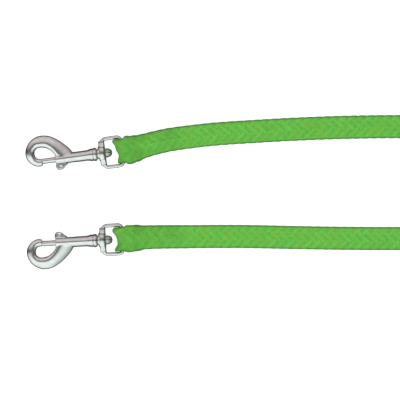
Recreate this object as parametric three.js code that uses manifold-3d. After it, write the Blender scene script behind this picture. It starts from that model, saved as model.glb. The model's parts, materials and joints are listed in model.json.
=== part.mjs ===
// A lead rope: one flat hollow-braid strap with a swivel-eye bolt snap spliced to each end.
// Millimetres, +Z up. The origin is on the floor, in the middle of the two snaps.
// The straps run off along +X; the length that isn't laid out is folded into a tied hank.
import * as THREE from 'three';
import { mergeVertices } from 'three/addons/utils/BufferGeometryUtils.js';
import Module from 'manifold-3d';

const wasm = await Module();
wasm.setup();

// ---- Driving dimensions -------------------------------------------------------------------
const GAP = 0.3; // running clearance, and the gap between pieces that touch
const DEGREE = Math.PI / 180;

// Strap
const STRAP_WIDTH = 20;
const STRAP_THICK = 3;
const STRAP_CLEAR = 0.1; // the strap's underside above the floor
const FLARE_WIDTH = 24.4; // where the tail is tucked in, next to the eye
const NECK_WIDTH = 19.6; // where it passes through the eye
const SPLICE_THICK = 5;
const SPLICE_LENGTH = 62; // from the bar to the end of the tucked tail

// Bolt snap, along its own axis: x = 0 is the collar's end face, the hook is on the -x side
const BARREL_RADIUS = 4.65;
const BARREL_FRONT = -36.3;
const BORE_RADIUS = 2.6;
const COLLAR_RADIUS = 5.8;
const COLLAR_WIDTH = 3.2;
const TIP_FACE = -48.2; // the hook's end face, where the bolt meets it
const SLOT_WIDTH = 3;
const BOLT_RADIUS = BORE_RADIUS - GAP;
const BOLT_REAR = -26.5;
const NOSE_RADIUS = 1.5;
const TRAVEL = 12.5;
const KNOB_FRONT = -37;
const KNOB_REAR = -26;
const KNOB_TOP = 9.4; // from the barrel's axis
const KNOB_SHANK_X = -33;
const KNOB_SHANK_RADIUS = 1.2;
const WIRE_RADIUS = 0.35;
const COIL_RADIUS = 1.9;
const SPRING_TURNS = 6;
const PIN_RADIUS = BORE_RADIUS - GAP;
const PIN_FRONT = -9;
const HEAD_RADIUS = 4;
const HEAD_END = 13.2;

// Swivel eye
const HUB_FRONT = 1.3;
const HUB_BACK = 7.4;
const HUB_HALF_WIDTH = 7.4;
const HUB_HALF_HEIGHT = 4.6;
const WEB_FRONT = 2.2; // the flat web between the hub and the ring's sides
const WEB_HALF_WIDTH = 10.9;
const WEB_HALF_HEIGHT = 2.1;
const RING_WIRE = 1.65; // radius of the ring's wire
const RING_HALF = 12.4; // half width of the ring, to the wire's middle
const RING_NEAR = 4.4; // the ring's hub side
const BAR_X = 22.1; // the bar that the strap goes round
const NEAR_CORNER = 4.6;
const FAR_CORNER = 4;

// The snaps lie on the floor on the collar and on the barrel's front edge
const PITCH = Math.atan2(COLLAR_RADIUS - BARREL_RADIUS, -BARREL_FRONT - COLLAR_WIDTH / 2);
const AXIS_HEIGHT = COLLAR_RADIUS / Math.cos(PITCH) + Math.tan(PITCH) * COLLAR_WIDTH;
const ENDS = [
  { name: 'a', x: 19.1, y: 42.2, turn: 7.5, roll: 0 },
  { name: 'b', x: 19.3, y: -32.8, turn: 3.3, roll: 180 },
];

// Plan route of each strap run from its bar to the start of the twist, chosen by hand
const ROUTES = {
  a: [
    [41.0, 45.1], [46, 45.75], [52, 47.1], [60, 49.5], [70, 52.2], [82, 54.8], [101, 57.5],
    [122, 59.8], [152, 61.8], [185, 63.7], [227, 65.4], [262, 66.1], [282.5, 66.2], [330, 66.2],
  ],
  b: [
    [41.4, -31.5], [46, -31.25], [52, -30.8], [60, -30.2], [72, -29.8], [100, -29.6], [122, -29.4],
    [152, -29.5], [190, -30.3], [235, -31.0], [262, -31.2], [282.5, -31.2], [330, -31.2],
  ],
};

// Hank: the strap stands on edge in one lobe towards the snaps and two lobes away from them
const TWIST_START = 290;
const TWIST_END = 376;
const HANK_AXIS_Y = 17.5;
const LANE = 48.7; // from the hank's axis to each incoming run
const LOBE_X = 380; // middle of the near lobe
const LOBE_RADIUS = 39;
const LOBE_TURN = 35; // where the near lobe's circle starts, in degrees from +X
const WAIST_X = 466;
const WAIST_HALF = 10; // half length of the stretch that the tie holds
const WAIST_PITCH = 3.5; // between the runs under the tie
const FAR_LOBE_X = 550; // middle of the two far lobes
const FAR_LOBE_Y = 41;
const FAR_LOBE_RADIUS = 36;
const FAR_LOBE_TURN = 160;
const TIE_WIDTH = 16;
const TIE_THICK = 1;
const TIE_NOTCH = 1.6; // how far the tie presses in the edges of the strap

// ---- Solids -------------------------------------------------------------------------------
function toSolid(geometry) {
  const bare = geometry.index ? geometry.toNonIndexed() : geometry.clone();
  bare.deleteAttribute('normal');
  bare.deleteAttribute('uv');
  const merged = mergeVertices(bare, 1e-4);
  const mesh = new wasm.Mesh({
    numProp: 3,
    vertProperties: Float32Array.from(merged.attributes.position.array),
    triVerts: Uint32Array.from(merged.index.array),
  });
  return new wasm.Manifold(mesh);
}

function toGeometry(solid) {
  const mesh = solid.getMesh();
  const geometry = new THREE.BufferGeometry();
  geometry.setAttribute('position', new THREE.BufferAttribute(mesh.vertProperties, 3));
  geometry.setIndex(new THREE.BufferAttribute(mesh.triVerts, 1));
  geometry.computeVertexNormals();
  return geometry;
}

function combine(base, { add = [], cut = [] }) {
  let solid = toSolid(base);
  for (const piece of add) solid = solid.add(toSolid(piece));
  for (const piece of cut) solid = solid.subtract(toSolid(piece));
  return toGeometry(solid);
}

// A turned shape about the x axis, from [x, radius] pairs
function turned(profile, segments = 24) {
  const points = profile.map(([x, radius]) => new THREE.Vector2(radius, x));
  return new THREE.LatheGeometry(points, segments).rotateZ(-Math.PI / 2);
}

function rod(from, to, radius, segments = 16) {
  return turned([[from, 0], [from, radius], [to, radius], [to, 0]], segments);
}

function box(low, high) {
  const size = high.map((value, i) => value - low[i]);
  const middle = high.map((value, i) => (value + low[i]) / 2);
  return new THREE.BoxGeometry(...size).translate(...middle);
}

function stadium(halfLength, halfHeight, length, segments = 6) {
  const shape = new THREE.Shape();
  const inset = halfLength - halfHeight;
  shape.absarc(inset, 0, halfHeight, -Math.PI / 2, Math.PI / 2, false);
  shape.absarc(-inset, 0, halfHeight, Math.PI / 2, 1.5 * Math.PI, false);
  return new THREE.ExtrudeGeometry(shape, { depth: length, bevelEnabled: false, curveSegments: segments });
}

function smoothStep(value, from, to) {
  return THREE.MathUtils.smoothstep(value, from, to);
}

// Straight-line interpolation in a list of [position, value] pairs
function along(list, position) {
  const after = list.findIndex(([at]) => at > position);
  if (after === 0) return list[0][1];
  if (after < 0) return list[list.length - 1][1];
  const [[x0, y0], [x1, y1]] = [list[after - 1], list[after]];
  return y0 + ((y1 - y0) * (position - x0)) / (x1 - x0);
}

// ---- Bolt snap ----------------------------------------------------------------------------
// The hook's middle line with its half width in the hook's plane, from the barrel to the tip
const HOOK_STATIONS = [
  [-26.4, 0.4, 4.4], [-28.4, 3, 5.4], [-30.7, 6.3, 6], [-33.6, 10.3, 5.8], [-37, 13.4, 5.6],
  [-41.7, 16.1, 5.5], [-48.3, 17.1, 5.2], [-53.8, 15.2, 4.4], [-57.4, 10.8, 4], [-57.8, 5.2, 3.9],
  [-55, 0.9, 3.5], [-51.2, -0.8, 3.4], [TIP_FACE, -0.5, 3],
];
const HOOK_FLATNESS = 0.86; // sideways half thickness, as a share of the half width
const HOOK_SIDE = 4.3; // the most that it can be

function hookArm() {
  const line = new THREE.CatmullRomCurve3(HOOK_STATIONS.map((station) => new THREE.Vector3(...station)));
  const steps = 26;
  const sides = 12;
  const arm = new THREE.CylinderGeometry(1, 1, 1, sides, steps);
  const place = arm.attributes.position;
  for (let i = 0; i < place.count; i += 1) {
    const share = THREE.MathUtils.clamp(place.getY(i) + 0.5, 0, 1);
    const middle = line.getPointAt(share);
    const ahead = line.getTangentAt(share).setZ(0).normalize();
    const across = place.getX(i) * middle.z;
    const side = place.getZ(i) * Math.min(HOOK_FLATNESS * middle.z, HOOK_SIDE);
    place.setXYZ(i, middle.x - ahead.y * across, middle.y + ahead.x * across, side);
  }
  const flipped = toSolid(arm).volume() < 0;
  return flipped ? mirrored(arm) : arm;
}

function mirrored(geometry) {
  const index = geometry.index.array;
  for (let i = 0; i < index.length; i += 3) {
    [index[i + 1], index[i + 2]] = [index[i + 2], index[i + 1]];
  }
  return geometry;
}

function snapBody() {
  const barrel = turned([
    [BARREL_FRONT, 0], [BARREL_FRONT, BARREL_RADIUS - 0.5], [BARREL_FRONT + 0.5, BARREL_RADIUS],
    [-9.6, BARREL_RADIUS], [-7.6, 4.9], [-5.8, 5.3], [-4.4, 5.6], [-3.9, 5.6], [-3.7, 5.2],
    [-3.4, 5.2], [-COLLAR_WIDTH, COLLAR_RADIUS], [-0.3, COLLAR_RADIUS], [0, 5.5], [0, 0],
  ], 28);
  const bore = rod(TIP_FACE, 1, BORE_RADIUS, 20);
  const socket = rod(TIP_FACE - 2, TIP_FACE + 1, NOSE_RADIUS + GAP, 12);
  const slot = box(
    [KNOB_SHANK_X - KNOB_SHANK_RADIUS - GAP, -BARREL_RADIUS - 2, -SLOT_WIDTH / 2],
    [KNOB_SHANK_X + TRAVEL + KNOB_SHANK_RADIUS + GAP, 0, SLOT_WIDTH / 2],
  );
  return combine(barrel, { add: [hookArm()], cut: [bore, socket, slot] });
}

function gateBolt() {
  const front = TIP_FACE + GAP;
  const bolt = turned([
    [front - 1.6, 0], [front - 1.6, NOSE_RADIUS - 0.4], [front - 1.2, NOSE_RADIUS], [front, NOSE_RADIUS],
    [front, BOLT_RADIUS - 0.3], [front + 0.3, BOLT_RADIUS], [BOLT_REAR - 0.3, BOLT_RADIUS],
    [BOLT_REAR, BOLT_RADIUS - 0.3], [BOLT_REAR, 0],
  ], 20);
  const hole = new THREE.CylinderGeometry(KNOB_SHANK_RADIUS + GAP, KNOB_SHANK_RADIUS + GAP, 4, 12);
  hole.translate(KNOB_SHANK_X, -2.8, 0);
  return combine(bolt, { cut: [hole] });
}

function thumbKnob() {
  const side = new THREE.Shape();
  const foot = BARREL_RADIUS - 1;
  side.moveTo(KNOB_FRONT, -foot);
  side.lineTo(KNOB_FRONT + 0.3, -6.6);
  side.lineTo(KNOB_FRONT + 1.4, -KNOB_TOP + 0.6);
  side.lineTo(KNOB_FRONT + 2.4, -KNOB_TOP);
  side.lineTo(KNOB_FRONT + 5.4, -KNOB_TOP);
  side.lineTo(KNOB_FRONT + 6.8, -KNOB_TOP + 0.9);
  side.lineTo(KNOB_REAR, -5.2);
  side.lineTo(KNOB_REAR, -foot);
  const width = 5.6;
  const pad = new THREE.ExtrudeGeometry(side, { depth: width, bevelEnabled: false }).translate(0, 0, -width / 2);
  const shank = new THREE.CylinderGeometry(KNOB_SHANK_RADIUS, KNOB_SHANK_RADIUS, 5, 12);
  shank.translate(KNOB_SHANK_X, -3.9, 0);
  const clear = rod(KNOB_FRONT - 1, KNOB_REAR + 1, BARREL_RADIUS + GAP, 28);
  const padClear = toGeometry(toSolid(pad).subtract(toSolid(clear)));
  return combine(padClear, { add: [shank] });
}

class Helix extends THREE.Curve {
  getPoint(share) {
    const from = BOLT_REAR + GAP + WIRE_RADIUS;
    const to = PIN_FRONT - GAP - WIRE_RADIUS;
    const angle = share * SPRING_TURNS * 2 * Math.PI;
    return new THREE.Vector3(
      from + (to - from) * share,
      COIL_RADIUS * Math.cos(angle),
      COIL_RADIUS * Math.sin(angle),
    );
  }
}

function gateSpring() {
  const section = new THREE.Shape();
  section.absarc(0, 0, WIRE_RADIUS, 0, 2 * Math.PI, false);
  const steps = SPRING_TURNS * 12;
  const options = { steps, extrudePath: new Helix(), bevelEnabled: false, curveSegments: 3 };
  return new THREE.ExtrudeGeometry(section, options);
}

function swivelPin() {
  const face = HUB_BACK + GAP;
  return turned([
    [PIN_FRONT, 0], [PIN_FRONT, PIN_RADIUS], [face, PIN_RADIUS], [face, HEAD_RADIUS - 0.3],
    [face + 0.4, HEAD_RADIUS], [face + 2, HEAD_RADIUS - 0.1], [face + 3.6, 3.4],
    [face + 4.8, 2.3], [HEAD_END - 0.1, 1.1], [HEAD_END, 0],
  ], 20);
}

// ---- Swivel eye ---------------------------------------------------------------------------
// The ring's middle line: a rounded rectangle with wide corners at the hub and tight ones at the bar
function ringLine() {
  const path = new THREE.Path();
  path.moveTo(RING_NEAR, 0);
  path.lineTo(RING_NEAR, RING_HALF - NEAR_CORNER);
  path.absarc(RING_NEAR + NEAR_CORNER, RING_HALF - NEAR_CORNER, NEAR_CORNER, Math.PI, Math.PI / 2, true);
  path.lineTo(BAR_X - FAR_CORNER, RING_HALF);
  path.absarc(BAR_X - FAR_CORNER, RING_HALF - FAR_CORNER, FAR_CORNER, Math.PI / 2, 0, true);
  path.lineTo(BAR_X, -RING_HALF + FAR_CORNER);
  path.absarc(BAR_X - FAR_CORNER, -RING_HALF + FAR_CORNER, FAR_CORNER, 0, -Math.PI / 2, true);
  path.lineTo(RING_NEAR + NEAR_CORNER, -RING_HALF);
  path.absarc(RING_NEAR + NEAR_CORNER, -RING_HALF + NEAR_CORNER, NEAR_CORNER, -Math.PI / 2, -Math.PI, true);
  path.lineTo(RING_NEAR, 0);
  return path;
}

function ring() {
  const line = ringLine();
  const steps = 44;
  const geometry = new THREE.TorusGeometry(10, 1, 8, steps);
  const place = geometry.attributes.position;
  for (let i = 0; i < place.count; i += 1) {
    const [x, y, z] = [place.getX(i), place.getY(i), place.getZ(i)];
    const turn = Math.atan2(y, x) / (2 * Math.PI);
    const share = Math.round((turn < 0 ? turn + 1 : turn) * steps) / steps;
    const middle = line.getPointAt(share % 1);
    const ahead = line.getTangentAt(share % 1);
    const outward = (Math.hypot(x, y) - 10) * RING_WIRE;
    place.setXYZ(i, middle.x - ahead.y * outward, middle.y + ahead.x * outward, -z * RING_WIRE);
  }
  return geometry;
}

function swivelEye() {
  const hub = stadium(HUB_HALF_WIDTH, HUB_HALF_HEIGHT, HUB_BACK - HUB_FRONT);
  hub.rotateX(Math.PI / 2).rotateZ(Math.PI / 2).translate(HUB_FRONT, 0, 0);
  const web = box(
    [WEB_FRONT, -WEB_HALF_WIDTH, -WEB_HALF_HEIGHT],
    [HUB_BACK, WEB_HALF_WIDTH, WEB_HALF_HEIGHT],
  );
  const bore = rod(HUB_FRONT - 1, HUB_BACK + 1, PIN_RADIUS + GAP, 20);
  const ringGeometry = ring();
  if (toSolid(ringGeometry).volume() < 0) mirrored(ringGeometry);
  return combine(ringGeometry, { add: [hub, web], cut: [bore] });
}

// ---- Strap --------------------------------------------------------------------------------
function planCurve(points) {
  return new THREE.CatmullRomCurve3(points.map(([x, y]) => new THREE.Vector3(x, y, 0)), false, 'centripetal');
}

// How far the strap has turned on edge at a place along +X, in radians
function twistAt(x) {
  return (Math.PI / 2) * smoothStep(x, TWIST_START, TWIST_END);
}

// The height of the strap's middle when its lower edge rests on the floor
function middleHeight(twist, thick) {
  return (STRAP_WIDTH / 2) * Math.sin(twist) + (thick / 2) * Math.cos(twist) + STRAP_CLEAR;
}

// A flat band's route, which also says which way the band's width points
class BandRoute extends THREE.Curve {
  constructor(plan, from, to, twist, side) {
    super();
    Object.assign(this, { plan, from, to, twist, side });
  }

  getPoint(share) {
    const point = this.plan.getPointAt(this.from + (this.to - this.from) * share);
    return point.setZ(middleHeight(this.twist(point.x), STRAP_THICK));
  }

  computeFrenetFrames(segments) {
    const frames = { tangents: [], normals: [], binormals: [] };
    for (let i = 0; i <= segments; i += 1) {
      const ahead = this.getTangentAt(i / segments);
      const twist = this.twist(this.getPointAt(i / segments).x) * this.side;
      const level = new THREE.Vector3(-ahead.y, ahead.x, 0).normalize();
      const width = level.multiplyScalar(Math.cos(twist)).add(new THREE.Vector3(0, 0, Math.sin(twist)));
      const thick = new THREE.Vector3().crossVectors(ahead, width).normalize();
      frames.tangents.push(ahead);
      frames.normals.push(width);
      frames.binormals.push(thick);
    }
    return frames;
  }
}

function bandSection(chamfer) {
  const [w, t] = [STRAP_WIDTH / 2, STRAP_THICK / 2];
  const chamfered = [
    [w, -t + chamfer], [w, t - chamfer], [w - chamfer, t], [-w + chamfer, t],
    [-w, t - chamfer], [-w, -t + chamfer], [-w + chamfer, -t], [w - chamfer, -t],
  ];
  const corners = chamfer > 0 ? chamfered : [[w, -t], [w, t], [-w, t], [-w, -t]];
  return new THREE.Shape(corners.map(([x, y]) => new THREE.Vector2(x, y)));
}

// The share of a plan curve's length that lies before a place along +X
function shareAt(plan, x) {
  let [low, high] = [0, 1];
  for (let i = 0; i < 40; i += 1) {
    const middle = (low + high) / 2;
    if (plan.getPointAt(middle).x < x) low = middle;
    else high = middle;
  }
  return low;
}

function strapRun(end) {
  const lane = end === 'a' ? HANK_AXIS_Y + LANE : HANK_AXIS_Y - LANE;
  const plan = planCurve([...ROUTES[end], [LOBE_X - GAP, lane]]);
  const start = (SPLICE_LENGTH + GAP) / plan.getLength();
  const side = end === 'a' ? 1 : -1;
  const route = new BandRoute(plan, start, 1, twistAt, side);
  return new THREE.ExtrudeGeometry(bandSection(1), { steps: 28, extrudePath: route, bevelEnabled: false });
}

// The loop round the bar and the tucked tail, drawn from the side: x from the bar, z from the floor
function strapEnd(end, barHeight) {
  const plan = planCurve(ROUTES[end]);
  const inner = RING_WIRE + 0.8;
  const outer = inner + STRAP_THICK - 0.2;
  const side = new THREE.Shape();
  side.moveTo(SPLICE_LENGTH, STRAP_CLEAR);
  side.lineTo(18, STRAP_CLEAR);
  side.lineTo(8, barHeight - outer - 0.7);
  side.absarc(0, barHeight, outer, -Math.PI / 2, Math.PI / 2, true);
  side.lineTo(3, barHeight + outer - 0.4);
  side.lineTo(8, 9.9);
  side.lineTo(14, 7.1);
  side.lineTo(20, 5.7);
  side.lineTo(28, STRAP_CLEAR + SPLICE_THICK);
  side.lineTo(SPLICE_LENGTH - 14, STRAP_CLEAR + SPLICE_THICK);
  side.lineTo(SPLICE_LENGTH, STRAP_CLEAR + STRAP_THICK);
  const eye = new THREE.Path();
  eye.moveTo(6, barHeight - inner - 0.2);
  eye.lineTo(12, 4.3);
  eye.lineTo(3.4, barHeight + 1.9);
  eye.absarc(0, barHeight, inner, Math.PI / 2, 1.5 * Math.PI, false);
  side.holes.push(eye);
  const slab = new THREE.ExtrudeGeometry(side, { depth: 1, bevelEnabled: false, curveSegments: 8 });
  slab.rotateX(Math.PI / 2).translate(0, 0.5, 0);
  const widths = [
    [-6, NECK_WIDTH - 1], [3, NECK_WIDTH], [8, FLARE_WIDTH], [14, FLARE_WIDTH], [20, 21.6],
    [28, STRAP_WIDTH + 0.4], [SPLICE_LENGTH, STRAP_WIDTH],
  ];
  const place = slab.attributes.position;
  const length = plan.getLength();
  const first = plan.getTangentAt(0);
  for (let i = 0; i < place.count; i += 1) {
    const distance = place.getX(i);
    const across = place.getY(i) * along(widths, distance);
    const share = THREE.MathUtils.clamp(distance / length, 0, 1);
    const middle = plan.getPointAt(share);
    const ahead = plan.getTangentAt(share);
    if (distance < 0) middle.addScaledVector(first, distance);
    place.setXYZ(i, middle.x - ahead.y * across, middle.y + ahead.x * across, place.getZ(i));
  }
  return slab;
}

// The row of lock stitches down the middle of the splice, as one thin line of thread
function stitchLine(end) {
  const plan = planCurve(ROUTES[end]);
  const length = plan.getLength();
  const [from, to] = [31, SPLICE_LENGTH - 16];
  const thread = box([0, -0.6, 0], [1, 0.6, 0.5]);
  const place = thread.attributes.position;
  for (let i = 0; i < place.count; i += 1) {
    const share = (place.getX(i) < 0.5 ? from : to) / length;
    const middle = plan.getPointAt(share);
    const ahead = plan.getTangentAt(share);
    const across = place.getY(i);
    const height = STRAP_CLEAR + SPLICE_THICK + GAP + place.getZ(i);
    place.setXYZ(i, middle.x - ahead.y * across, middle.y + ahead.x * across, height);
  }
  return thread;
}

// ---- Hank ---------------------------------------------------------------------------------
function arcPoints(x, y, radius, from, to, count) {
  return Array.from({ length: count }, (_, i) => {
    const angle = (from + ((to - from) * i) / (count - 1)) * DEGREE;
    return [x + radius * Math.cos(angle), y + radius * Math.sin(angle)];
  });
}

// The points between two stretches of the route, on a smooth bend; each end is [x, y, heading]
function bend([x0, y0, heading0], [x1, y1, heading1], count) {
  const handle = 0.38 * Math.hypot(x1 - x0, y1 - y0);
  const knot = (x, y, heading, reach) => new THREE.Vector2(
    x + reach * Math.cos(heading * DEGREE),
    y + reach * Math.sin(heading * DEGREE),
  );
  const curve = new THREE.CubicBezierCurve(
    knot(x0, y0, heading0, 0), knot(x0, y0, heading0, handle),
    knot(x1, y1, heading1, -handle), knot(x1, y1, heading1, 0),
  );
  return curve.getSpacedPoints(count + 1).slice(1, -1).map(({ x, y }) => [x, y]);
}

// One half of the hank's route, measured from its axis: from the incoming run, past the near lobe,
// under the tie, round a far lobe, back under the tie, and round half of the near lobe
function halfHank() {
  const [near, far] = [WAIST_X - WAIST_HALF, WAIST_X + WAIST_HALF];
  const [outer, inner] = [1.5 * WAIST_PITCH, 0.5 * WAIST_PITCH];
  const wrap = arcPoints(LOBE_X, 0, LANE, 90, LOBE_TURN, 5);
  const farLobe = arcPoints(FAR_LOBE_X, FAR_LOBE_Y, FAR_LOBE_RADIUS, FAR_LOBE_TURN, -85, 13);
  const nearLobe = arcPoints(LOBE_X, 0, LOBE_RADIUS, LOBE_TURN, 180, 9);
  return [
    ...wrap,
    ...bend([...wrap.at(-1), LOBE_TURN - 90], [near, outer, 0], 3),
    [near, outer], [WAIST_X, outer], [far, outer],
    ...bend([far, outer, 0], [...farLobe[0], FAR_LOBE_TURN - 90], 4),
    ...farLobe,
    ...bend([...farLobe.at(-1), 185], [far, inner, 180], 4),
    [far, inner], [WAIST_X, inner], [near, inner],
    ...bend([near, inner, 180], [...nearLobe[0], LOBE_TURN + 90], 3),
    ...nearLobe,
  ];
}

function hankPlan() {
  const half = halfHank();
  const back = half.slice(0, -1).reverse().map(([x, y]) => [x, -y]);
  return planCurve([...half, ...back].map(([x, y]) => [x, HANK_AXIS_Y + y]));
}

function strapHank() {
  const upright = () => Math.PI / 2;
  const route = new BandRoute(hankPlan(), 0, 1, upright, 1);
  const band = new THREE.ExtrudeGeometry(bandSection(0), { steps: 150, extrudePath: route, bevelEnabled: false });
  return combine(band, { cut: [tieBlock(0, -5, TIE_NOTCH), tieBlock(0, STRAP_WIDTH - TIE_NOTCH, STRAP_WIDTH + 5)] });
}

// A block at the tie, a little wider all round by a margin, between two heights above the strap's edge
function tieBlock(margin, low, high) {
  const [halfLong, halfWide] = [TIE_WIDTH / 2 + GAP, 2 * WAIST_PITCH + GAP + margin];
  return box(
    [WAIST_X - halfLong, HANK_AXIS_Y - halfWide, STRAP_CLEAR + low],
    [WAIST_X + halfLong, HANK_AXIS_Y + halfWide, STRAP_CLEAR + high],
  );
}

// A flat tie wound round the waist, in the notch that it presses into the strap's edges
function hankTie() {
  const [low, high] = [TIE_NOTCH - GAP - TIE_THICK, STRAP_WIDTH - TIE_NOTCH + GAP + TIE_THICK];
  const outside = tieBlock(TIE_THICK, low, high);
  const inside = tieBlock(0, low + TIE_THICK, high - TIE_THICK);
  const solid = toSolid(outside.translate(-WAIST_X, 0, 0)).subtract(
    toSolid(inside.translate(-WAIST_X, 0, 0).scale(2, 1, 1)),
  );
  const narrow = TIE_WIDTH / (TIE_WIDTH + 2 * GAP);
  return toGeometry(solid).scale(narrow, 1, 1).translate(WAIST_X, 0, 0);
}

// ---- Materials and assembly ---------------------------------------------------------------
function material(color, roughness, metalness) {
  return new THREE.MeshStandardMaterial({ color, roughness, metalness });
}

function piece(parent, name, geometry, look) {
  const mesh = new THREE.Mesh(geometry, look);
  mesh.name = name;
  parent.add(mesh);
  return mesh;
}

const nickel = () => material(0xd4d6d8, 0.18, 1);
const springSteel = () => material(0x9a9a98, 0.3, 1);
const greenBraid = () => material(0x5fb83c, 0.85, 0);

const leadRope = new THREE.Group();

for (const { name, x, y, turn, roll } of ENDS) {
  const end = new THREE.Group();
  end.position.set(x, y, AXIS_HEIGHT);
  end.rotation.set(roll * DEGREE, -PITCH, turn * DEGREE, 'ZYX');
  leadRope.add(end);
  piece(end, `snap_body_${name}`, snapBody(), nickel());
  piece(end, `gate_bolt_${name}`, gateBolt(), nickel());
  piece(end, `thumb_knob_${name}`, thumbKnob(), nickel());
  piece(end, `gate_spring_${name}`, gateSpring(), springSteel());
  piece(end, `swivel_pin_${name}`, swivelPin(), nickel());
  piece(end, `swivel_eye_${name}`, swivelEye(), nickel());
  const barHeight = AXIS_HEIGHT + BAR_X * Math.sin(PITCH);
  piece(leadRope, `strap_end_${name}`, strapEnd(name, barHeight), greenBraid());
  piece(leadRope, `strap_run_${name}`, strapRun(name), greenBraid());
  piece(leadRope, `lock_stitching_${name}`, stitchLine(name), greenBraid());
}
piece(leadRope, 'strap_hank', strapHank(), greenBraid());
piece(leadRope, 'hank_tie', hankTie(), material(0x1b1b1c, 0.9, 0));

leadRope.updateMatrixWorld(true);
export default leadRope;
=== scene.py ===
"""Looks of a lead rope: a green flat-braided strap with a swivel-eye bolt snap at each end."""
import json
import math

import bpy
import numpy as np
from mathutils import Matrix, Vector


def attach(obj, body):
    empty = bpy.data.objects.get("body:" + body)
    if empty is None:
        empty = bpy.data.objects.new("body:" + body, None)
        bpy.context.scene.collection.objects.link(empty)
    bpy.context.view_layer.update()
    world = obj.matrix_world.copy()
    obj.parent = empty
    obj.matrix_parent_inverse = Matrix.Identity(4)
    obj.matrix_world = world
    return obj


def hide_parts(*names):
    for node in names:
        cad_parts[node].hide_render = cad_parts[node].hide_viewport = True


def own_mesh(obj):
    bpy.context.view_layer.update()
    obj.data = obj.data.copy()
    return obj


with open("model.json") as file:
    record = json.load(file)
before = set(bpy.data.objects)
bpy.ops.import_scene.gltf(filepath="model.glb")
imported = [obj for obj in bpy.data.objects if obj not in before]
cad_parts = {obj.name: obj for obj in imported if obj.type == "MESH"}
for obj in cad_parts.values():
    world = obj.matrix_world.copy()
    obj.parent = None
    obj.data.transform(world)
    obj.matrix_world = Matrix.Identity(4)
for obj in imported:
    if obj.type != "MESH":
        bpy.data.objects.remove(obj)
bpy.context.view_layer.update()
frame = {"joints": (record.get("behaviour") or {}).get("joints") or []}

MM = 0.001
GAP = 0.3
ENDS = ("a", "b")

# ---- Camera: straight down on the snaps and the first stretch of the straps ----------------
VIEW_CENTRE = (0.1085, 0.0024)
VIEW_WIDTH = 0.348
CAMERA_HEIGHT = 2.4
STRAP_TOP = 0.003
SENSOR = 36.0

camera_data = bpy.data.cameras.new("camera")
camera_data.sensor_width = SENSOR
camera_data.lens = SENSOR * (CAMERA_HEIGHT - STRAP_TOP) / VIEW_WIDTH
camera = bpy.data.objects.new("camera", camera_data)
camera.location = (*VIEW_CENTRE, CAMERA_HEIGHT)
bpy.context.scene.collection.objects.link(camera)
bpy.context.scene.camera = camera
bpy.context.scene.view_settings.view_transform = "Standard"


# ---- Mesh helpers --------------------------------------------------------------------------
def new_object(name, mesh):
    obj = bpy.data.objects.new(name, mesh)
    bpy.context.scene.collection.objects.link(obj)
    return obj


def make_mesh(name, points, faces):
    mesh = bpy.data.meshes.new(name)
    mesh.from_pydata([tuple(p) for p in points], [], [tuple(f) for f in faces])
    mesh.update()
    mesh.polygons.foreach_set("use_smooth", [True] * len(mesh.polygons))
    return mesh


def loft(rings, closed=False):
    """Points and faces of a skin over rings, an array of (stations, points round, 3)."""
    stations, sides = rings.shape[:2]
    points = rings.reshape(-1, 3)
    faces = []
    for i in range(stations if closed else stations - 1):
        low, high = i * sides, ((i + 1) % stations) * sides
        for j in range(sides):
            k = (j + 1) % sides
            faces.append((low + j, low + k, high + k, high + j))
    if not closed:
        faces.append(tuple(range(sides - 1, -1, -1)))
        last = (stations - 1) * sides
        faces.append(tuple(range(last, last + sides)))
    return points, faces


def lathe(profile, sides=64):
    """A turned shape about the x axis from (x, radius) pairs; the ends close to a point or a flat."""
    angles = np.linspace(0, 2 * math.pi, sides, endpoint=False)
    rings = np.array([
        [(x, radius * math.cos(t), radius * math.sin(t)) for t in angles]
        for x, radius in profile
    ])
    return loft(rings)


def joined(parts):
    points, faces, offset = [], [], 0
    for part_points, part_faces in parts:
        points.append(np.asarray(part_points, float))
        faces += [tuple(i + offset for i in face) for face in part_faces]
        offset += len(part_points)
    return np.vstack(points), faces


def evaluated(obj):
    """The object's mesh with its modifiers applied."""
    depsgraph = bpy.context.evaluated_depsgraph_get()
    return bpy.data.meshes.new_from_object(obj.evaluated_get(depsgraph))


def with_modifiers(mesh, build, cutters=()):
    """The mesh after the modifiers that build(object) adds."""
    obj = new_object("shaping", mesh)
    build(obj)
    bpy.context.view_layer.update()
    result = evaluated(obj)
    bpy.data.objects.remove(obj)
    for cutter in cutters:
        bpy.data.objects.remove(cutter)
    return result


def fused(parts, voxel, steps):
    """Solids grown together into one casting with soft inside corners. Sizes in millimetres."""
    def build(obj):
        remesh = obj.modifiers.new("remesh", "REMESH")
        remesh.mode = "VOXEL"
        remesh.voxel_size = voxel
        smooth = obj.modifiers.new("smooth", "SMOOTH")
        smooth.factor = 0.5
        smooth.iterations = steps
    return with_modifiers(make_mesh("fused", *joined(parts)), build)


def smoothed_near(mesh, weight_of, steps):
    """More smoothing where weight_of(points) is above zero."""
    points = coordinates(mesh)
    weights = weight_of(points)

    def build(obj):
        group = obj.vertex_groups.new(name="soft")
        for i in np.nonzero(weights > 0.01)[0]:
            group.add([int(i)], float(weights[i]), "REPLACE")
        smooth = obj.modifiers.new("smooth", "SMOOTH")
        smooth.factor = 0.5
        smooth.iterations = steps
        smooth.vertex_group = "soft"
    return with_modifiers(mesh, build)


def carved(mesh, add=(), cut=()):
    """The mesh with other solids added to it or cut out of it."""
    tools = [(new_object("tool", make_mesh("tool", *part)), kind)
             for kind, parts in (("UNION", add), ("DIFFERENCE", cut)) for part in parts]

    def build(obj):
        for tool, kind in tools:
            step = obj.modifiers.new("boolean", "BOOLEAN")
            step.operation = kind
            step.solver = "EXACT"
            step.object = tool
    return with_modifiers(mesh, build, [tool for tool, _ in tools])


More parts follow.
